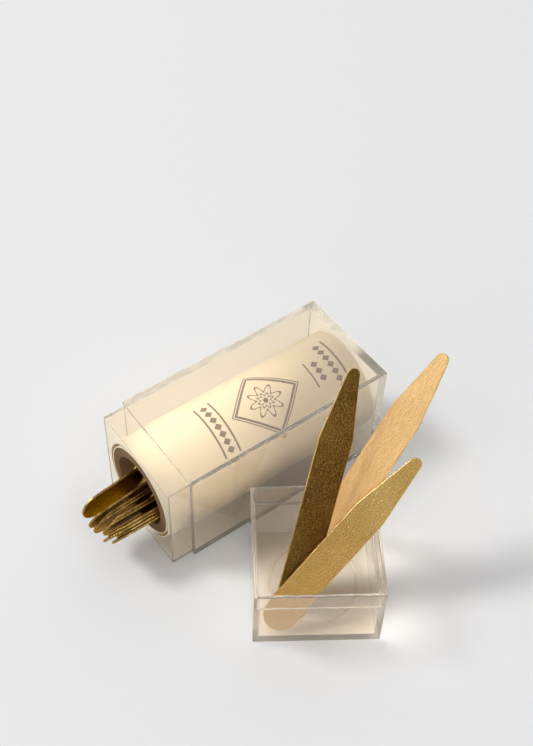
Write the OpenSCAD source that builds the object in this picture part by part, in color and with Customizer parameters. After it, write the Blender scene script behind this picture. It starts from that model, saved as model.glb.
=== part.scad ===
// Collar stays in a clear box: the box lies on one long side with its cap off.
// The cap stands beside it, open side up, and holds three stays.
// The other stays are in a card tube with a rolled paper label round it.
// Units are millimetres. The origin is the centre of the box body's lower face.
// +X runs from the open mouth to the closed end, +Y to its left, +Z up.

/* [Box] */
// Outside width of the square box and of its cap
box_w = 32; // [31:0.5:34]
// Length of the box body from the step of its neck to the closed end
body_l = 62; // [60:1:70]
// Wall thickness of the box body
wall = 2.0; // [1.6:0.1:2.2]
// Thickness of the closed end
end_wall = 2.0; // [1.5:0.1:3]
// Length of the neck that goes into the cap
neck_l = 6.2; // [5:0.1:8]
// How far the neck is set in on each side
neck_inset = 1.2; // [0.8:0.1:1.2]

/* [Cap] */
// Outside height of the cap as it stands
cap_h = 22; // [18:0.5:26]
// Thickness of the cap's floor, which is its top when it is on the box
cap_floor = 2.0; // [1.5:0.1:3]
// Depth of the rebate that takes the neck
rebate_l = 6.4; // [6:0.1:8]
// Gap on each side between the neck and the rebate
fit_gap = 0.1; // [0.05:0.05:0.3]
// Outside diameter of the moulded ring on the cap's floor
ring_d = 23; // [18:0.5:26]
// Where the cap's centre stands, along the box
cap_x = -11.2; // [-14:0.1:-8]
// Where the cap's centre stands, to the box's left
cap_y = -41.0; // [-48:0.5:-41]
// How far the cap is turned
cap_turn = -34.2; // [-40:0.2:-30]

/* [Card tube and label] */
// Outside diameter of the card tube
tube_d = 24.6; // [24:0.1:25]
// Bore of the card tube
bore_d = 19.6; // [19.6:0.1:21]
// Thickness of the label paper
paper_t = 0.35; // [0.25:0.05:0.4]
// Outside diameter of the label's sprung outer turn
label_d = 27.6; // [27.2:0.1:27.8]

/* [Collar stays] */
// Width of a stay
stay_w = 9.0; // [8:0.1:9.2]
// Thickness of a stay
stay_t = 0.6; // [0.4:0.05:0.6]
// Radius of the pointed end
tip_r = 1.7; // [1.2:0.1:2.2]
// Length over which a stay narrows to its tip
taper_l = 16.4; // [14:0.2:18]
// Length of the shortest stays
short_l = 56.3; // [50:0.1:57.5]
// Length of the middle stays
middle_l = 67.1; // [62:0.1:68]
// Length of the longest stays
long_l = 75.4; // [72:0.1:76.2]

/* [Stays in the cap] */
// Short stay: turn, rise and roll in degrees
short_turn = 34.1; // [33:0.1:35]
short_rise = 38.6; // [38:0.1:39]
short_roll = 47.8; // [47:0.1:48.5]
// Middle stay: turn, rise and roll in degrees
middle_turn = 66.8; // [66:0.1:67.5]
middle_rise = 52.5; // [52:0.1:53]
middle_roll = 34.4; // [34:0.1:35]
// Long stay: turn, rise and roll in degrees
long_turn = 40.7; // [40:0.1:41.5]
long_rise = 49.1; // [48.5:0.1:49.5]
long_roll = -0.2; // [-1:0.1:1]

/* [Hidden] */
body_x0 = -body_l / 2;
body_x1 = body_l / 2;
mouth_x = body_x0 - neck_l;
axis_z = box_w / 2;
cavity_w = box_w - 2 * wall;
neck_w = box_w - 2 * neck_inset;
rebate_w = neck_w + 2 * fit_gap;
cavity_end = body_x1 - end_wall;
tube_x0 = mouth_x + 0.2;
tube_x1 = cavity_end - 0.3;
// Six small packs of stays lie in the tube. Each row is one pack at the mouth:
// stands out, left of the axis, above the axis, lean, swing and dip.
packs = [
  [14.9, 4.4, -1.4, 94, 4.0, 2.6],
  [15.0, 1.15, -2.7, 106, 3.3, 3.0],
  [14.4, -0.3, -4.6, 107, 2.4, 1.0],
  [12.9, -2.95, -4.7, 108, 0, 0],
  [14.5, -6.25, -2.7, 122, 0, 0.2],
  [12.5, -7.0, -4.4, 122, 0, 0]
];
// Each row is one stay: its pack, its place in the pack, how far it is pushed in and its length.
// The shortest ones are pushed in past the mouth.
members = [
  [0, 0, 0, middle_l], [0, 1, 15.6, short_l], [3, 3, 22.2, short_l],
  [1, 0, 0, middle_l], [1, 1, 15.8, short_l], [1, 2, 16.4, short_l],
  [2, 0, 0, long_l], [2, 1, 1.7, long_l],
  [3, 0, 0, long_l], [3, 1, 1.7, long_l], [3, 2, 13.8, short_l],
  [4, 0, 0, long_l], [4, 1, 1.7, middle_l],
  [5, 0, 0, middle_l], [5, 1, 1.7, middle_l]
];
pack_step = 0.72;
label_in = tube_d / 2 + 0.1;
label_out = label_d / 2;
lap_low = 235;
lap_mid = 245;
lap_high = 270;
stay_lift = 0.25;
$fa = 4;
$fs = 0.25;

// A square bar along X, centred on the box's axis.
module bar_x(x0, x1, w) {
  translate([x0, -w / 2, axis_z - w / 2])
    cube([x1 - x0, w, w]);
}

// A round bar along X, centred on the box's axis.
module rod_x(x0, x1, d) {
  translate([x0, 0, axis_z])
    rotate([0, 90, 0])
      cylinder(h = x1 - x0, d = d);
}

// The box body: one open square tray with a set-in neck round its mouth.
module clear_box() {
  color([0.9, 0.9, 0.88, 0.35])
    difference() {
      union() {
        bar_x(body_x0, body_x1, box_w);
        bar_x(mouth_x, body_x0 + 1, neck_w);
      }
      bar_x(mouth_x - 1, cavity_end, cavity_w);
    }
}

// A square block standing in the cap's own frame.
module block_z(z0, z1, w) {
  translate([-w / 2, -w / 2, z0])
    cube([w, w, z1 - z0]);
}

// Puts what is drawn round the cap's centre where the cap stands.
module at_cap() {
  translate([cap_x, cap_y, 0])
    rotate([0, 0, cap_turn])
      children();
}

// The cap: a shallow square tray, with a rebate for the neck and a ring on its floor.
module box_cap() {
  color([0.9, 0.9, 0.88, 0.35])
    at_cap() {
      difference() {
        block_z(0, cap_h, box_w);
        block_z(cap_floor, cap_h + 1, cavity_w);
        block_z(cap_h - rebate_l, cap_h + 1, rebate_w);
      }
      difference() {
        translate([0, 0, cap_floor - 0.2])
          cylinder(h = 0.4, d = ring_d);
        cylinder(h = cap_floor + 1, d = ring_d - 1.4);
      }
    }
}

// The card tube that holds the stays.
module card_tube() {
  color([0.62, 0.53, 0.42])
    difference() {
      rod_x(tube_x0, tube_x1, tube_d);
      rod_x(tube_x0 - 1, tube_x1 + 1, bore_d);
    }
}

function ray(r, a) = [r * cos(a), r * sin(a)];

// A ring drawn flat, as wide as the paper is thick.
module paper_ring(r_in) {
  difference() {
    circle(r = r_in + paper_t);
    circle(r = r_in);
  }
}

// The label's section: a close inner turn, a ramp, and a sprung outer turn with a free end.
module label_section() {
  paper_ring(label_in);
  difference() {
    paper_ring(label_out - paper_t);
    polygon([[0, 0], ray(20, lap_low), ray(20, lap_high)]);
  }
  polygon([
    ray(label_in + 0.05, lap_mid), ray(label_in + paper_t, lap_mid),
    ray(label_out - 0.02, lap_high + 0.3), ray(label_out - paper_t + 0.02, lap_high + 0.3)
  ]);
}

// The paper label, rolled round the card tube.
module paper_label() {
  color([0.91, 0.85, 0.74])
    translate([mouth_x + 0.3, 0, axis_z])
      rotate([90, 0, 90])
        linear_extrude(height = tube_x1 - mouth_x - 0.3)
          label_section();
}

// A stay's outline: round at the wide end, then straight, then narrowing to a round tip.
// The wide end's centre is at the origin and the tip points along +X.
module stay_outline(len) {
  tip_x = len - stay_w / 2 - tip_r;
  reach = sqrt(taper_l * taper_l + stay_w * stay_w / 4);
  touch = atan2(stay_w / 2, -taper_l) - acos(tip_r / reach);
  tx = tip_x + tip_r * cos(touch);
  ty = tip_r * sin(touch);
  circle(d = stay_w);
  polygon([
    [0, -stay_w / 2], [tip_x - taper_l, -stay_w / 2], [tx, -ty],
    [tx, ty], [tip_x - taper_l, stay_w / 2], [0, stay_w / 2]
  ]);
  translate([tip_x, 0])
    circle(r = tip_r);
}

module stay(len) {
  translate([0, 0, -stay_t / 2])
    linear_extrude(height = stay_t)
      stay_outline(len);
}

// How far the wide end's centre stands above the floor that it leans on.
function end_rise(rise, roll) =
  stay_w / 2 * sqrt(pow(sin(rise), 2) + pow(cos(rise) * sin(roll), 2))
  + stay_t / 2 * abs(cos(rise) * cos(roll));

// A stay standing in the cap, by its wide end's place and its three angles.
module cap_stay(len, x, y, turn, rise, roll) {
  color([0.78, 0.62, 0.33])
    at_cap()
      translate([x, y, cap_floor + stay_lift + end_rise(rise, roll)])
        rotate([roll, -rise, turn])
          stay(len);
}

// A stay lying in the tube.
module tube_stay(i) {
  m = members[i];
  p = packs[m[0]];
  color([0.72, 0.56, 0.28])
    translate([mouth_x, p[1], axis_z + p[2]])
      rotate([p[3], -p[5], p[4]])
        translate([stay_w / 2 - p[0] + m[2], 0, -m[1] * pack_step])
          stay(m[3]);
}

clear_box();
box_cap();
card_tube();
paper_label();
cap_stay(short_l, -8.8, -10.9, short_turn, short_rise, short_roll);  // cap_stay_short
cap_stay(middle_l, -6.2, -8.8, middle_turn, middle_rise, middle_roll);  // cap_stay_middle
cap_stay(long_l, -4.9, -3.1, long_turn, long_rise, long_roll);  // cap_stay_long
tube_stay(0);  // tube_stay_01
tube_stay(1);  // tube_stay_02
tube_stay(2);  // tube_stay_03
tube_stay(3);  // tube_stay_04
tube_stay(4);  // tube_stay_05
tube_stay(5);  // tube_stay_06
tube_stay(6);  // tube_stay_07
tube_stay(7);  // tube_stay_08
tube_stay(8);  // tube_stay_09
tube_stay(9);  // tube_stay_10
tube_stay(10);  // tube_stay_11
tube_stay(11);  // tube_stay_12
tube_stay(12);  // tube_stay_13
tube_stay(13);  // tube_stay_14
tube_stay(14);  // tube_stay_15
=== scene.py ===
# %% [markdown]
# # Collar stays in a clear box
# The object is a square clear box lying on its side, with a label roll and brass collar stays in
# it, and the box's cap standing beside it with three more stays. The construction model already
# holds every size and place. This lesson dresses it: clear moulded plastic, brushed brass, wound
# card and printed paper. All lengths here are metres, in the frame of the construction model.

import math

import bmesh
import bpy
from mathutils import Matrix, Vector


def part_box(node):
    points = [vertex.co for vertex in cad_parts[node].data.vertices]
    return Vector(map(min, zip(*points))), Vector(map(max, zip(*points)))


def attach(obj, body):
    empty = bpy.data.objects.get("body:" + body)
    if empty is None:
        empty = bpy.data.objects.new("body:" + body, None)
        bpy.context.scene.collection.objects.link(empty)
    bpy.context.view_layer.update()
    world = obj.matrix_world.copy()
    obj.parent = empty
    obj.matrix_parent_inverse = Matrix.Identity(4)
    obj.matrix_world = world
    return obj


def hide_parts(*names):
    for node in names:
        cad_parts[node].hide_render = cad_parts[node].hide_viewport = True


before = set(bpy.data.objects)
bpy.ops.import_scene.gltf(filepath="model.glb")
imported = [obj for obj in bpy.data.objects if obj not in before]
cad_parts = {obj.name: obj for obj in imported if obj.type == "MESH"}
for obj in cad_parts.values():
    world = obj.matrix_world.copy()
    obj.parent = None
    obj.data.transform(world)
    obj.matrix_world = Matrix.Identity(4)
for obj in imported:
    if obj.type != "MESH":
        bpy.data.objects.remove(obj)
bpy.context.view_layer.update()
MM = 0.001
scene = bpy.context.scene

# %% [markdown]
# ## Sizes read from the frame
# The box, tube and label lie along X, so their boxes in the frame give their widths directly.
# Wall thicknesses can't be read from an outer box, so they are named here as real sizes.

# %% Sizes
box_lo, box_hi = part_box("clear_box")
tube_lo, tube_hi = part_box("card_tube")
label_lo, label_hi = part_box("paper_label")
box_w = box_hi[1] - box_lo[1]
axis_z = box_w / 2
wall = 2.0 * MM
neck_l = 6.2 * MM
neck_inset = 1.2 * MM
body_l = box_hi[0] - box_lo[0] - neck_l
bore_r = 9.8 * MM
tube_r = (tube_hi[1] - tube_lo[1]) / 2
label_r = (label_hi[1] - label_lo[1]) / 2
print("box %.1f mm wide, tube %.1f mm, label %.1f mm" % (box_w / MM, 2 * tube_r / MM, 2 * label_r / MM))

# %% [markdown]
# ## Helpers for pieces
# Each piece is a mesh object at the origin whose place is in its vertices. It rides on the one
# body of this object, names the material slot it takes its finish from, and hides the plain
# construction solid it stands for.


# %% Make a piece from a bmesh
def add_piece(name, bm, materials, node=None):
    mesh = bpy.data.meshes.new(name)
    bm.to_mesh(mesh)
    bm.free()
    piece = bpy.data.objects.new(name, mesh)
    scene.collection.objects.link(piece)
    for material in materials:
        mesh.materials.append(material)
    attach(piece, "root")
    if node:
        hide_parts(node)
    return piece


# %% [markdown]
# ## Helpers for node trees
# A procedural finish is a small chain of nodes. These two helpers keep the chains short: one adds
# a node with its inputs filled in, and one adds a Math node.


# %% Node helpers
def add_node(tree, kind, links=None, **values):
    node = tree.nodes.new(kind)
    for key, value in values.items():
        setattr(node, key, value)
    for socket, value in (links or {}).items():
        if isinstance(value, bpy.types.NodeSocket):
            tree.links.new(value, node.inputs[socket])
        else:
            node.inputs[socket].default_value = value
    return node


def math_node(tree, operation, first, second=0.0, third=None, clamp=False):
    links = {0: first, 1: second}
    if third is not None:
        links[2] = third
    return add_node(tree, "ShaderNodeMath", links, operation=operation, use_clamp=clamp).outputs[0]


def new_material(name):
    material = bpy.data.materials.new(name)
    material.use_nodes = True
    tree = material.node_tree
    return material, tree, tree.nodes["Principled BSDF"]


# %% [markdown]
# ## Two shared effects
# Fine grain and blotches turn up on the brass, the card and the paper alike, so they are node
# groups. "Grain" gives a value that varies quickly across a surface and slowly along it, as
# brushing, rolling and paper making leave it. "Blotches" gives slow, soft patches of tone.


# %% Effect group helper
def new_group(name, inputs, outputs):
    group = bpy.data.node_groups.new(name, "ShaderNodeTree")
    for title, kind, default in inputs:
        socket = group.interface.new_socket(name=title, in_out="INPUT", socket_type=kind)
        if default is not None:
            socket.default_value = default
    for title, kind in outputs:
        group.interface.new_socket(name=title, in_out="OUTPUT", socket_type=kind)
    return group, group.nodes.new("NodeGroupInput").outputs, group.nodes.new("NodeGroupOutput").inputs


def use_group(tree, group, links):
    node = tree.nodes.new("ShaderNodeGroup")
    node.node_tree = group
    for socket, value in links.items():
        if isinstance(value, bpy.types.NodeSocket):
            tree.links.new(value, node.inputs[socket])
        else:
            node.inputs[socket].default_value = value
    return node.outputs


# %% Grain group
grain_group, ins, outs = new_group(
    "Grain",
    [("Vector", "NodeSocketVector", None), ("Along", "NodeSocketFloat", 1.0),
     ("Across", "NodeSocketFloat", 10.0)],
    [("Value", "NodeSocketFloat")],
)
split = add_node(grain_group, "ShaderNodeSeparateXYZ", {0: ins["Vector"]}).outputs
stretched = add_node(
    grain_group, "ShaderNodeCombineXYZ",
    {0: math_node(grain_group, "MULTIPLY", split[0], ins["Along"]),
     1: math_node(grain_group, "MULTIPLY", split[1], ins["Across"]),
     2: math_node(grain_group, "MULTIPLY", split[2], ins["Across"])},
).outputs[0]
fibres = add_node(
    grain_group, "ShaderNodeTexNoise",
    {"Vector": stretched, "Scale": 1.0, "Detail": 3.0, "Roughness": 0.6},
)
grain_group.links.new(fibres.outputs[0], outs["Value"])

# %% Blotch group
blotch_group, ins, outs = new_group(
    "Blotches",
    [("Vector", "NodeSocketVector", None), ("Scale", "NodeSocketFloat", 100.0)],
    [("Value", "NodeSocketFloat")],
)
patches = add_node(
    blotch_group, "ShaderNodeTexNoise", {"Vector": ins["Vector"], "Scale": ins["Scale"], "Detail": 4.0}
)
spread = add_node(
    blotch_group, "ShaderNodeMapRange", {0: patches.outputs[0], 1: 0.3, 2: 0.7}, clamp=True
)
blotch_group.links.new(spread.outputs[0], outs["Value"])
print("effect groups", [g.name for g in bpy.data.node_groups])

# %% [markdown]
# ## Clear plastic
# The box is moulded in clear plastic. Principled with full transmission bends light as the real
# walls do, so the label shows doubled at the edges. Real plastic lets most light through to what
# stands behind it, but a path tracer gives such a wall a black shadow. Letting shadow rays pass
# through Alpha is the usual way round that. A trace of haze and a slow waviness in the surface make
# it moulded plastic and not optical glass. Its warm tint is partly the plastic's own and partly
# painted warm light, for the glow the label and brass throw about inside the box. The cap's
# plastic is a little deeper in tone and casts more of a shadow.


# %% Clear plastic material helper
def clear_material(name, tint, shadow_pass):
    material, tree, skin = new_material(name)
    skin.inputs["Base Color"].default_value = tint
    skin.inputs["Metallic"].default_value = 0.0
    skin.inputs["Transmission Weight"].default_value = 0.92
    skin.inputs["IOR"].default_value = 1.5
    place = add_node(tree, "ShaderNodeTexCoord").outputs["Object"]
    waves = use_group(tree, blotch_group, {"Vector": place, "Scale": 90.0})["Value"]
    scuffs = use_group(
        tree, grain_group, {"Vector": place, "Along": 300.0, "Across": 2200.0}
    )["Value"]
    rough = add_node(tree, "ShaderNodeMapRange", {0: scuffs, 1: 0.35, 2: 0.8, 3: 0.0, 4: 0.035})
    tree.links.new(rough.outputs[0], skin.inputs["Roughness"])
    ripple = add_node(tree, "ShaderNodeBump", {"Height": waves, "Strength": 0.05, "Distance": 0.0003})
    tree.links.new(ripple.outputs[0], skin.inputs["Normal"])
    ray = add_node(tree, "ShaderNodeLightPath").outputs["Is Shadow Ray"]
    passing = math_node(tree, "MULTIPLY_ADD", ray, -shadow_pass, 1.0)
    tree.links.new(passing, skin.inputs["Alpha"])
    return material


# The warm tints are partly painted warm light from the label and brass inside the box.
clear = clear_material("clear_plastic", (0.985, 0.92, 0.81, 1), 0.96)
clear_cap_plastic = clear_material("clear_plastic_cap", (0.975, 0.90, 0.79, 1), 0.74)
print("clear plastic ready")

# %% [markdown]
# ## Open trays
# Both the box body and the cap are open square trays with a step at the mouth. On the real ones a
# steel core forms the hollow. Here one cube is enough: inset the top face, push it up or down,
# and repeat. The cube stands with its mouth up, is given small rounded edges with a bevel, and is
# then turned into place.


# %% Square tray builder
def push(bm, face, thickness, depth):
    """Insets a face and then moves the inner face along its normal; returns the inner face."""
    bmesh.ops.inset_region(bm, faces=[face], thickness=thickness)
    moved = bmesh.ops.extrude_discrete_faces(bm, faces=[face])["faces"][0]
    bmesh.ops.translate(bm, verts=moved.verts, vec=(0, 0, depth))
    return moved


def open_tray(width, height, steps, edge):
    bm = bmesh.new()
    bmesh.ops.create_cube(bm, size=1.0)
    bmesh.ops.scale(bm, verts=bm.verts, vec=(width, width, height))
    bmesh.ops.translate(bm, verts=bm.verts, vec=(0, 0, height / 2))
    bm.normal_update()
    face = max(bm.faces, key=lambda f: f.calc_center_median().z)
    for thickness, depth in steps:
        face = push(bm, face, thickness, depth)
    bmesh.ops.bevel(
        bm, geom=list(bm.edges), affect="EDGES", offset=edge, segments=3, profile=0.5, material=-1
    )
    bmesh.ops.recalc_face_normals(bm, faces=bm.faces)
    return bm


# %% Box body
edge_round = 0.25 * MM
cavity_depth = neck_l + body_l - wall
bm = open_tray(
    box_w, body_l, [(neck_inset, neck_l), (wall - neck_inset, -cavity_depth)], edge_round
)
lie_down = Matrix.Rotation(math.radians(-90), 4, "Y")
bmesh.ops.transform(bm, verts=bm.verts, matrix=Matrix.Translation((box_hi[0], 0, axis_z)) @ lie_down)
box_piece = add_piece("clear_box_body", bm, [clear], "clear_box")
print("box body", len(box_piece.data.polygons), "faces")

# %% [markdown]
# ## The cap
# The cap stands open side up beside the box, turned a little. Its place is the centre of its box
# in the frame. Its turn is found from how wide that box is: a square of side w turned by t is
# w (cos t + sin t) wide, and the smaller of the two angles that give this width is the one seen.

# %% Cap
cap_lo, cap_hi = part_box("box_cap")
cap_h = cap_hi[2]
rebate_l = 6.4 * MM
rim_wall = 1.1 * MM
cap_floor = 2.0 * MM
cap_turn = 0.5 * math.asin(((cap_hi[0] - cap_lo[0]) / box_w) ** 2 - 1)
cap_place = Matrix.Translation(((cap_lo[0] + cap_hi[0]) / 2, (cap_lo[1] + cap_hi[1]) / 2, 0))
cap_place = cap_place @ Matrix.Rotation(-cap_turn, 4, "Z")
bm = open_tray(
    box_w, cap_h, [(rim_wall, -rebate_l), (wall - rim_wall, rebate_l + cap_floor - cap_h)], edge_round
)
bmesh.ops.transform(bm, verts=bm.verts, matrix=cap_place)
cap_piece = add_piece("clear_cap", bm, [clear_cap_plastic], "box_cap")
print("cap turned %.1f degrees" % math.degrees(cap_turn))

# %% [markdown]
# ## The moulded ring
# A thin ring stands on the cap's floor, where the mould's round insert left its mark. It is a
# small rounded profile spun once round the cap's centre and stands a hair above the floor.

# %% Ring on the cap's floor
ring_r = 11.15 * MM
ring_half_h = 0.11 * MM
ring_flatness = 3.0
ring_lift = 0.12 * MM
bm = bmesh.new()
upright_turn = Matrix.Rotation(math.radians(90), 4, "X")
bmesh.ops.create_circle(bm, segments=8, radius=ring_half_h, matrix=upright_turn)
bmesh.ops.scale(bm, verts=bm.verts, vec=(ring_flatness, 1, 1))
bmesh.ops.translate(bm, verts=bm.verts, vec=(ring_r, 0, cap_floor + ring_lift))
bmesh.ops.spin(
    bm, geom=list(bm.verts) + list(bm.edges), cent=(0, 0, 0), axis=(0, 0, 1),
    angle=math.tau, steps=96, use_merge=True,
)
bmesh.ops.recalc_face_normals(bm, faces=bm.faces)
bmesh.ops.transform(bm, verts=bm.verts, matrix=cap_place)
for face in bm.faces:
    face.smooth = True
ring_piece = add_piece("cap_floor_ring", bm, [clear_cap_plastic])
print("ring", len(ring_piece.data.polygons), "faces")

# %% [markdown]
# ## Card and paper finishes
# The tube is wound from strips of brown card, so its cut end shows rings of layers and its
# surface has short fibres. The label is smooth cream stock: very fine fibres, a few faint stains
# and a matt surface. Its inner side is a darker golden brown, which is painted shade for the side
# that faces into the roll.


# %% Wound card material
card, tree, skin = new_material("wound_card")
place = add_node(tree, "ShaderNodeTexCoord").outputs["Object"]
centred = add_node(tree, "ShaderNodeMapping", {0: place, 1: (0, 0, -axis_z)}).outputs[0]
parts = add_node(tree, "ShaderNodeSeparateXYZ", {0: centred}).outputs
radius = math_node(
    tree, "SQRT",
    math_node(tree, "ADD", math_node(tree, "MULTIPLY", parts[1], parts[1]),
              math_node(tree, "MULTIPLY", parts[2], parts[2])),
)
layers = add_node(
    tree, "ShaderNodeTexNoise", {"W": math_node(tree, "MULTIPLY", radius, 3200.0)},
    noise_dimensions="1D",
).outputs[0]
fibres = use_group(tree, grain_group, {"Vector": place, "Along": 900.0, "Across": 2600.0})["Value"]
stains = use_group(tree, blotch_group, {"Vector": place, "Scale": 260.0})["Value"]
tone = math_node(tree, "MULTIPLY_ADD", layers, 0.55, math_node(tree, "MULTIPLY", fibres, 0.35))
ramp = add_node(tree, "ShaderNodeValToRGB", {0: tone})
ramp.color_ramp.elements[0].position = 0.25
ramp.color_ramp.elements[0].color = (0.06, 0.026, 0.006, 1)
ramp.color_ramp.elements[1].position = 0.7
ramp.color_ramp.elements[1].color = (0.36, 0.205, 0.075, 1)
stained = math_node(tree, "MULTIPLY", stains, 0.3)
mixed = add_node(
    tree, "ShaderNodeMix", {0: stained, 6: ramp.outputs[0], 7: (0.20, 0.12, 0.05, 1)},
    data_type="RGBA",
)
tree.links.new(mixed.outputs[2], skin.inputs["Base Color"])
rough = add_node(tree, "ShaderNodeMapRange", {0: fibres, 3: 0.78, 4: 0.95})
tree.links.new(rough.outputs[0], skin.inputs["Roughness"])
bump = add_node(tree, "ShaderNodeBump", {"Height": tone, "Strength": 0.5, "Distance": 0.00012})
tree.links.new(bump.outputs[0], skin.inputs["Normal"])
print("card ready")


# %% Paper material helper
ink_tone = (0.105, 0.046, 0.012, 1)


def paper_material(name, light_tone, dark_tone, ink_mask=None):
    """Smooth paper stock. ink_mask(tree) gives the print's mask on the piece's UV map."""
    material, tree, skin = new_material(name)
    place = add_node(tree, "ShaderNodeTexCoord").outputs["Object"]
    fibres = use_group(
        tree, grain_group, {"Vector": place, "Along": 1500.0, "Across": 3000.0}
    )["Value"]
    stains = use_group(tree, blotch_group, {"Vector": place, "Scale": 60.0})["Value"]
    tone = math_node(tree, "MULTIPLY_ADD", fibres, 0.45, math_node(tree, "MULTIPLY", stains, 0.45))
    stock = add_node(tree, "ShaderNodeMix", {0: tone, 6: light_tone, 7: dark_tone}, data_type="RGBA")
    colour = stock.outputs[2]
    if ink_mask:
        cover = math_node(tree, "MULTIPLY_ADD", fibres, -0.12, 1.05)
        worn = math_node(tree, "MULTIPLY", ink_mask(tree), cover, clamp=True)
        printed = add_node(
            tree, "ShaderNodeMix", {0: worn, 6: colour, 7: ink_tone}, data_type="RGBA"
        )
        colour = printed.outputs[2]
    tree.links.new(colour, skin.inputs["Base Color"])
    rough = add_node(tree, "ShaderNodeMapRange", {0: fibres, 3: 0.55, 4: 0.8})
    tree.links.new(rough.outputs[0], skin.inputs["Roughness"])
    bump = add_node(tree, "ShaderNodeBump", {"Height": tone, "Strength": 0.25, "Distance": 0.00005})
    tree.links.new(bump.outputs[0], skin.inputs["Normal"])
    return material


# %% [markdown]
# ## The printed ornament
# The label is printed in dark brown with a plain ornament: a lozenge in a double line round an
# eight-petalled rosette, and rows of small diamonds between rules. It is drawn by formulas on the
# label's UV map, where U runs along the roll and V round it. The formulas turn both into
# millimetres from the ornament's centre. A formula stays sharp at any size and needs no picture.

# %% Sizes of the ornament, in millimetres
lozenge_half = (10.5, 10.0)
slant_to_mm = 7.35
# Each row: size of the lozenge's line, half its width
lozenge_lines = [(1.0, 0.14), (0.9, 0.3)]
# Each row: mean radius of a petal line, its swing in and out, half its width
petal_lines = [(3.6, 1.1, 0.27), (1.75, 0.45, 0.2)]
petals = 8
seed_r = 0.7
diamond_step = 2.2
diamond_half = 1.15
diamond_squash = 1.1
# Each row: place along the roll, half the length round it
rows_of_diamonds = [(-15.0, 7.7), (17.5, 3.3), (21.5, 7.7)]
# Each row: place along the roll, half the length round it, half the width
rules = [(-17.2, 8.2, 0.25), (-12.8, 8.2, 0.25), (15.0, 4.0, 0.2), (24.0, 8.2, 0.25)]
print(len(rows_of_diamonds), "rows of diamonds and", len(rules), "rules")


# %% Ornament formulas
def line_mask(tree, distance, half_width):
    """Gives 1 within half_width of the line where distance is 0, with a soft 0.05 mm edge."""
    return add_node(
        tree, "ShaderNodeMapRange",
        {0: math_node(tree, "ABSOLUTE", distance), 1: half_width, 2: half_width + 0.05, 3: 1.0, 4: 0.0},
    ).outputs[0]


def inside(tree, value, limit):
    return math_node(tree, "LESS_THAN", math_node(tree, "ABSOLUTE", value), limit)


def ornament(tree):
    uv = add_node(tree, "ShaderNodeUVMap", uv_map="sheet").outputs[0]
    split = add_node(tree, "ShaderNodeSeparateXYZ", {0: uv}).outputs
    along = math_node(tree, "MULTIPLY", split[0], 100.0)
    round_it = math_node(tree, "MULTIPLY", split[1], 100.0)
    slant = math_node(
        tree, "ADD",
        math_node(tree, "DIVIDE", math_node(tree, "ABSOLUTE", along), lozenge_half[0]),
        math_node(tree, "DIVIDE", math_node(tree, "ABSOLUTE", round_it), lozenge_half[1]),
    )
    marks = []
    for size, half_width in lozenge_lines:
        offset = math_node(tree, "MULTIPLY", math_node(tree, "SUBTRACT", slant, size), slant_to_mm)
        marks.append(line_mask(tree, offset, half_width))
    reach = math_node(
        tree, "SQRT",
        math_node(tree, "ADD", math_node(tree, "MULTIPLY", along, along),
                  math_node(tree, "MULTIPLY", round_it, round_it)),
    )
    turn = math_node(tree, "ARCTAN2", round_it, along)
    wave = math_node(tree, "COSINE", math_node(tree, "MULTIPLY", turn, petals))
    for mean, swing, half_width in petal_lines:
        edge = math_node(tree, "MULTIPLY_ADD", wave, swing, mean)
        marks.append(line_mask(tree, math_node(tree, "SUBTRACT", reach, edge), half_width))
    marks.append(math_node(tree, "LESS_THAN", reach, seed_r))
    for place, half_length in rows_of_diamonds:
        step = math_node(tree, "SUBTRACT", along, place)
        cell = math_node(tree, "PINGPONG", round_it, diamond_step / 2)
        diamond = math_node(
            tree, "ADD", math_node(tree, "ABSOLUTE", step),
            math_node(tree, "MULTIPLY", cell, diamond_squash),
        )
        row = math_node(tree, "LESS_THAN", diamond, diamond_half)
        marks.append(math_node(tree, "MULTIPLY", row, inside(tree, round_it, half_length)))
    for place, half_length, half_width in rules:
        line = line_mask(tree, math_node(tree, "SUBTRACT", along, place), half_width)
        marks.append(math_node(tree, "MULTIPLY", line, inside(tree, round_it, half_length)))
    total = marks[0]
    for mark in marks[1:]:
        total = math_node(tree, "MAXIMUM", total, mark)
    return total


# %% Paper finishes
label_face = paper_material(
    "label_print", (0.80, 0.70, 0.53, 1), (0.74, 0.63, 0.455, 1), ornament
)
# The inner side's darker golden brown is painted shade for the side facing into the roll.
label_back = paper_material("label_inner_side", (0.66, 0.50, 0.22, 1), (0.55, 0.39, 0.15, 1))
label_edge = paper_material("label_cut_edge", (0.85, 0.78, 0.62, 1), (0.75, 0.66, 0.48, 1))
print("paper ready")

# %% [markdown]
# ## The card tube
# A wound tube is a body of revolution, so its wall is a short profile spun about the box's axis.
# At the open end each layer of card ends a little short of or past the next, which shows as rings.

# %% Card tube
layers_seen = 8
layer_t = (tube_r - bore_r) / layers_seen
groove = 0.16 * MM
# The profile's points are places along the axis and radii
profile = [(tube_hi[0], tube_r), (tube_hi[0], bore_r)]
for i in range(layers_seen):
    lip = tube_lo[0] + (0.0 if i % 2 else 0.07 * MM)
    inner = bore_r + i * layer_t
    profile += [(lip, inner + 0.02 * MM), (lip, inner + layer_t - 0.05 * MM)]
    if i < layers_seen - 1:
        profile.append((tube_lo[0] + groove, inner + layer_t - 0.015 * MM))
bm = bmesh.new()
corners = [bm.verts.new((x, 0, axis_z + r)) for x, r in profile]
for first, second in zip(corners, corners[1:] + corners[:1]):
    bm.edges.new((first, second))
bmesh.ops.spin(
    bm, geom=list(bm.verts) + list(bm.edges), cent=(0, 0, axis_z), axis=(1, 0, 0),
    angle=math.tau, steps=96, use_merge=True,
)
bmesh.ops.recalc_face_normals(bm, faces=bm.faces)
for face in bm.faces:
    face.smooth = abs(face.normal.x) < 0.3
tube_piece = add_piece("wound_card_tube", bm, [card], "card_tube")
print("card tube", len(tube_piece.data.polygons), "faces")

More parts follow.
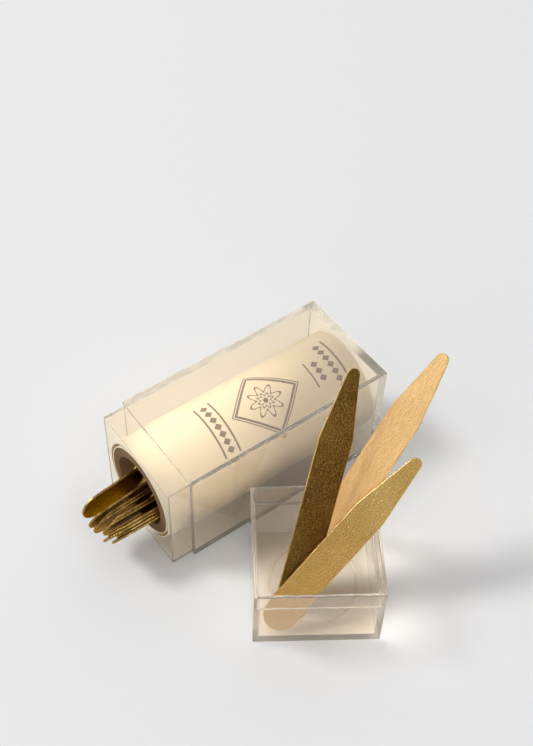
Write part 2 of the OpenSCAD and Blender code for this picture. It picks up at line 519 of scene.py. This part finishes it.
# %% [markdown]
# ## The rolled label
# The label is one sheet wound twice: a close turn on the tube, a short ramp, and a sprung outer
# turn with a free end underneath. A single edge as long as the sheet is extruded again and again,
# turned about the roll's axis and let out a little where the ramp is. The arc it has travelled is
# kept on each vertex, so that the UV map can follow the sheet. Solidify gives the paper its
# thickness, with its own finish inside and on the cut edge.

# %% Rolled sheet
paper_t = 0.3 * MM
close_r = tube_r + 0.1 * MM + paper_t / 2
sprung_r = label_r - paper_t / 2 - 0.03 * MM
# Turns in degrees: the sheet's start, the ramp's two ends and the sheet's end
start_turn, ramp_from, ramp_to, end_turn = -115, 245, 270, 595
turn_step = 5


def sheet_radius(turn):
    share = min(max((turn - ramp_from) / (ramp_to - ramp_from), 0.0), 1.0)
    return close_r + (sprung_r - close_r) * share * share * (3 - 2 * share)


bm = bmesh.new()
turn_layer = bm.verts.layers.float.new("turn")
radians = math.radians(start_turn)
start_y = sheet_radius(start_turn) * math.cos(radians)
start_z = axis_z + sheet_radius(start_turn) * math.sin(radians)
ends = [bm.verts.new((x, start_y, start_z)) for x in (label_lo[0], label_hi[0])]
edge = bm.edges.new(ends)
for vert in ends:
    vert[turn_layer] = start_turn
axis_point = (0, 0, axis_z)
for turn in range(start_turn, end_turn, turn_step):
    grown = bmesh.ops.extrude_edge_only(bm, edges=[edge])["geom"]
    moved = [v for v in grown if isinstance(v, bmesh.types.BMVert)]
    grown_edges = [e for e in grown if isinstance(e, bmesh.types.BMEdge)]
    edge = next(e for e in grown_edges if set(e.verts) == set(moved))
    swing = Matrix.Rotation(math.radians(turn_step), 3, "X")
    bmesh.ops.rotate(bm, verts=moved, cent=axis_point, matrix=swing)
    let_out = sheet_radius(turn + turn_step) / sheet_radius(turn)
    bmesh.ops.scale(
        bm, verts=moved, vec=(1, let_out, let_out), space=Matrix.Translation((0, 0, -axis_z))
    )
    for vert in moved:
        vert[turn_layer] = turn + turn_step
print("sheet", len(bm.faces), "strips")

# %% [markdown]
# The UV map holds tenths of a metre, with its origin at the ornament's centre, and the outer turn
# carries the print.

# %% Sheet UV and piece
print_x = 0.4 * MM
print_turn = 465
uv_layer = bm.loops.layers.uv.new("sheet")
for face in bm.faces:
    face.smooth = True
    for loop in face.loops:
        travelled = math.radians(loop.vert[turn_layer] - print_turn) * sprung_r
        loop[uv_layer].uv = ((loop.vert.co.x - print_x) * 10, travelled * 10)
bm.normal_update()
bm.faces.ensure_lookup_table()
first_strip = bm.faces[0]
outward = first_strip.calc_center_median() - Vector(axis_point)
outward.x = 0
if first_strip.normal.dot(outward) < 0:
    bmesh.ops.reverse_faces(bm, faces=bm.faces)
label_piece = add_piece(
    "rolled_label", bm, [label_face, label_back, label_edge], "paper_label"
)
thick = label_piece.modifiers.new("paper thickness", "SOLIDIFY")
thick.thickness = paper_t
thick.offset = 0.0
thick.use_even_offset = True
thick.material_offset = 1
thick.material_offset_rim = 2
print("label sheet %.0f mm round" % (math.radians(end_turn - start_turn) * sprung_r / MM))

# %% [markdown]
# ## Brass
# The stays are stamped from brass strip. One is brushed along its length, and one is tumbled,
# which leaves a fine even speckle that glitters. The others are given a dark olive brown, which is
# painted dark reflection of the shaded floor and dim surroundings their faces mirror. All are bare
# metal with a warm tone, a little darker in the hollows of the grain and where handling has dulled
# it. A finish is a mix of lengthwise lines and speckle, and the same mix drives its colour,
# roughness and relief. The grain follows each stay, so it reads the stay's own UV map, where U runs
# along the stay in tenths of a metre.


# %% Brass material helper
def brass_material(name, tone, dull, roughness, brushed, speckled, relief):
    material, tree, skin = new_material(name)
    skin.inputs["Metallic"].default_value = 1.0
    skin.inputs["Specular Tint"].default_value = (1.0, 0.70, 0.32, 1)
    uv = add_node(tree, "ShaderNodeUVMap", uv_map="stay").outputs[0]
    lines = use_group(tree, grain_group, {"Vector": uv, "Along": 30.0, "Across": 420.0})["Value"]
    speckle = add_node(
        tree, "ShaderNodeTexNoise", {"Vector": uv, "Scale": 290.0, "Detail": 2.0, "Roughness": 0.75}
    ).outputs[0]
    handling = use_group(tree, blotch_group, {"Vector": uv, "Scale": 9.0})["Value"]
    height = math_node(
        tree, "ADD", math_node(tree, "MULTIPLY", lines, brushed),
        math_node(tree, "MULTIPLY", speckle, speckled),
    )
    hollows = add_node(
        tree, "ShaderNodeMapRange", {0: height, 1: 0.42, 2: 0.58, 3: 0.9, 4: 0.0}
    ).outputs[0]
    shade = math_node(tree, "MULTIPLY_ADD", handling, 0.25, hollows, clamp=True)
    colour = add_node(tree, "ShaderNodeMix", {0: shade, 6: tone, 7: dull}, data_type="RGBA")
    tree.links.new(colour.outputs[2], skin.inputs["Base Color"])
    rough = add_node(
        tree, "ShaderNodeMapRange",
        {0: height, 1: 0.3, 2: 0.7, 3: roughness + 0.1, 4: roughness - 0.08},
    )
    tree.links.new(rough.outputs[0], skin.inputs["Roughness"])
    bump = add_node(tree, "ShaderNodeBump", {"Height": height, "Strength": relief, "Distance": 0.0005})
    tree.links.new(bump.outputs[0], skin.inputs["Normal"])
    return material


# %% Brass finishes
# Each row: tone, tone in the hollows, roughness, share of lines, share of speckle, relief
brass_rows = {
    "brass_tumbled": ((1.0, 0.74, 0.30, 1), (0.58, 0.31, 0.06, 1), 0.3, 0.2, 0.8, 1.0),
    "brass_brushed": ((0.92, 0.63, 0.31, 1), (0.72, 0.44, 0.175, 1), 0.4, 0.5, 0.5, 0.9),
    # This row and the next are painted dark reflection: darker tones for the middle stay and the stays
    # in the tube, whose faces mirror shaded floor and dim surroundings.
    "brass_painted_dark_reflection": ((0.50, 0.31, 0.08, 1), (0.06, 0.028, 0.004, 1), 0.24, 0.25, 0.75, 1.0),
    "brass_tube_painted_dark_reflection": ((0.50, 0.27, 0.05, 1), (0.13, 0.06, 0.008, 1), 0.26, 0.6, 0.4, 0.4),
    # This row's lighter tone is a painted highlight along the edges.
    "brass_edge_painted_highlight": ((1.0, 0.80, 0.45, 1), (0.75, 0.50, 0.19, 1), 0.2, 0.6, 0.4, 0.2),
    # This row is the edge finish darkened for the stays in the tube: painted dark reflection.
    "brass_edge_painted_dark_reflection": ((0.55, 0.36, 0.11, 1), (0.26, 0.15, 0.03, 1), 0.24, 0.6, 0.4, 0.2),
}
brass = {name: brass_material(name, *row) for name, row in brass_rows.items()}
print("brass finishes", list(brass))

# %% [markdown]
# ## The stays
# Each construction solid already has a stay's exact outline and place, so each dressed stay
# starts as a merged copy of it. Its flat triangles are dissolved into two broad faces. The edges
# get the small rounding that tumbling leaves and a smoother finish, as handling polishes them, and
# a lighter tone, which is a painted highlight along them. The UV map is laid along the stay: the
# longest edge of a broad face gives the direction, and the outline's weight shows which end is the
# wide one. Each stay reads another part of the grain, so that no two look alike.


# %% Stay builder
def dress_stay(node_name, piece_name, flat, cut):
    bm = bmesh.new()
    bm.from_mesh(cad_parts[node_name].data)
    bmesh.ops.remove_doubles(bm, verts=bm.verts, dist=1e-6)
    bmesh.ops.dissolve_limit(bm, angle_limit=math.radians(1), verts=bm.verts, edges=bm.edges)
    bm.normal_update()
    broad = max(bm.faces, key=lambda f: f.calc_area())
    normal = broad.normal.copy()
    longest = max(broad.edges, key=lambda e: e.calc_length())
    along = (longest.verts[1].co - longest.verts[0].co).normalized()
    reach = [v.co.dot(along) for v in broad.verts]
    weight = broad.calc_center_median_weighted().dot(along)
    if weight > (min(reach) + max(reach)) / 2:
        along = -along
    across = normal.cross(along)
    start = min(v.co.dot(along) for v in broad.verts)
    middle = sum(v.co.dot(across) for v in longest.verts) / 2
    sharp = [e for e in bm.edges if e.calc_face_angle(0) > math.radians(40)]
    bmesh.ops.bevel(
        bm, geom=sharp, affect="EDGES", offset=0.09 * MM, segments=2, profile=0.5, material=-1
    )
    uv_layer = bm.loops.layers.uv.new("stay")
    # The letters of the name pick one of 17 places in the grain
    shift = 0.37 * (sum(ord(letter) for letter in node_name) % 17)
    for face in bm.faces:
        face.smooth = abs(face.normal.dot(normal)) < 0.999
        face.material_index = int(face.smooth)
        for loop in face.loops:
            u = 10 * (loop.vert.co.dot(along) - start) + shift
            v = 10 * (loop.vert.co.dot(across) - middle) + shift
            loop[uv_layer].uv = (u, v)
    return add_piece(piece_name, bm, [flat, cut], node_name)


# %% Dress every stay
# Each row: finish of the broad faces, finish of the edges
finish = {
    "cap_stay_long": ("brass_brushed", "brass_edge_painted_highlight"),
    "cap_stay_short": ("brass_tumbled", "brass_edge_painted_highlight"),
    # The middle stay's dark finish is painted dark reflection.
    "cap_stay_middle": ("brass_painted_dark_reflection", "brass_edge_painted_highlight"),
}
stays = []
for node_name in sorted(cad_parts):
    if "stay" in node_name:
        # The stays in the tube take the darkened finishes: painted dark reflection of the shaded floor
        # by the mouth.
        flat, cut = finish.get(node_name, ("brass_tube_painted_dark_reflection", "brass_edge_painted_dark_reflection"))
        stays.append(dress_stay(node_name, "brass_" + node_name, brass[flat], brass[cut]))
print(len(stays), "stays dressed")

# %% [markdown]
# ## Floor, light and camera
# The photograph is a plain studio shot: a pale floor that fills the frame, a broad soft light
# from high on the left, and dim surroundings at the front right, which the darker stay mirrors.
# The floor is stage, not part of the object. The camera looks down at fifty degrees along the
# direction in which the box's mouth points to the lower left.

# %% Floor
floor_material, tree, skin = new_material("pale_floor")
skin.inputs["Base Color"].default_value = (0.80, 0.80, 0.80, 1)
skin.inputs["Roughness"].default_value = 0.9
skin.inputs["Specular IOR Level"].default_value = 0.1
bm = bmesh.new()
bmesh.ops.create_grid(bm, x_segments=2, y_segments=2, size=3.0)
bmesh.ops.translate(bm, verts=bm.verts, vec=(0, 0, -0.05 * MM))
floor_mesh = bpy.data.meshes.new("floor")
bm.to_mesh(floor_mesh)
bm.free()
floor = bpy.data.objects.new("floor", floor_mesh)
scene.collection.objects.link(floor)
floor_mesh.materials.append(floor_material)
print("floor laid")

# %% Directions of the picture
# The picture's right and its depth along the floor, in the frame, and the point it is centred on
picture_right = Vector((0.7888, -0.6147, 0))
picture_back = Vector((0.6147, 0.7888, 0))
picture_middle = Vector((-0.006, -0.018, 0.015))


def studio_point(right, back, up):
    return picture_middle + picture_right * right + picture_back * back + Vector((0, 0, up))


# %% Camera
# The lens, place, tilt and roll come from the corners of the box and the cap in the photograph
camera_data = bpy.data.cameras.new("camera")
camera_data.sensor_width = 36
camera_data.lens = 58.99
camera_data.clip_start = 0.01
camera = bpy.data.objects.new("camera", camera_data)
scene.collection.objects.link(camera)
tilt_down = math.radians(50.21)
camera_roll = math.radians(2.14)
look = picture_back * math.cos(tilt_down) - Vector((0, 0, math.sin(tilt_down)))
level_up = picture_right.cross(look)
side = picture_right * math.cos(camera_roll) + level_up * math.sin(camera_roll)
upright = level_up * math.cos(camera_roll) - picture_right * math.sin(camera_roll)
turned = Matrix((side, upright, -look)).transposed().to_4x4()
camera.matrix_world = Matrix.Translation((-0.1211, -0.1594, 0.2782)) @ turned
scene.camera = camera
print("camera tilted down %.1f degrees" % math.degrees(tilt_down))

# %% [markdown]
# Light zigzags many times inside thin clear walls before it leaves them, so the paths are allowed
# more bounces than usual; else the walls' edges would turn black. The plain view transform keeps
# the colours of print and metal as they are.

# %% Light paths
scene.cycles.max_bounces = 20
scene.cycles.glossy_bounces = 14
scene.cycles.transmission_bounces = 20
scene.cycles.transparent_max_bounces = 32
scene.view_settings.view_transform = "Standard"
print("up to", scene.cycles.max_bounces, "bounces")


# %% Studio lights
def softbox(name, place, size, watts):
    """A square soft light of this size in metres, turned towards the object."""
    data = bpy.data.lights.new(name, "AREA")
    data.size = size
    data.energy = watts
    lamp = bpy.data.objects.new(name, data)
    scene.collection.objects.link(lamp)
    lamp.location = place
    lamp.rotation_euler = (picture_middle - place).to_track_quat("-Z", "Y").to_euler()
    print(name, "%.1f m away" % (place - picture_middle).length)


softbox("key_high_left", studio_point(-2.8, 0.6, 2.7), 0.9, 82.0)
softbox("edge_glint", studio_point(-3.4, -0.15, 2.1), 0.3, 10.0)
softbox("fill_front_right", studio_point(1.3, -1.8, 2.6), 1.6, 14.0)

# %% World
world = bpy.data.worlds.new("studio")
scene.world = world
world.use_nodes = True
tree = world.node_tree
ground = tree.nodes["Background"]
facing = add_node(tree, "ShaderNodeTexCoord").outputs["Generated"]
dim_side = picture_right * 0.95 - picture_back * 0.3
sideways = add_node(
    tree, "ShaderNodeVectorMath", {0: facing, 1: tuple(dim_side)}, operation="DOT_PRODUCT"
).outputs["Value"]
glow = add_node(
    tree, "ShaderNodeMapRange", {0: sideways, 1: 0.3, 2: 0.8, 3: 1.0, 4: 0.18},
    interpolation_type="SMOOTHSTEP",
)
tree.links.new(glow.outputs[0], ground.inputs["Strength"])
ground.inputs["Color"].default_value = (0.62, 0.62, 0.63, 1)
print("world", world.name)
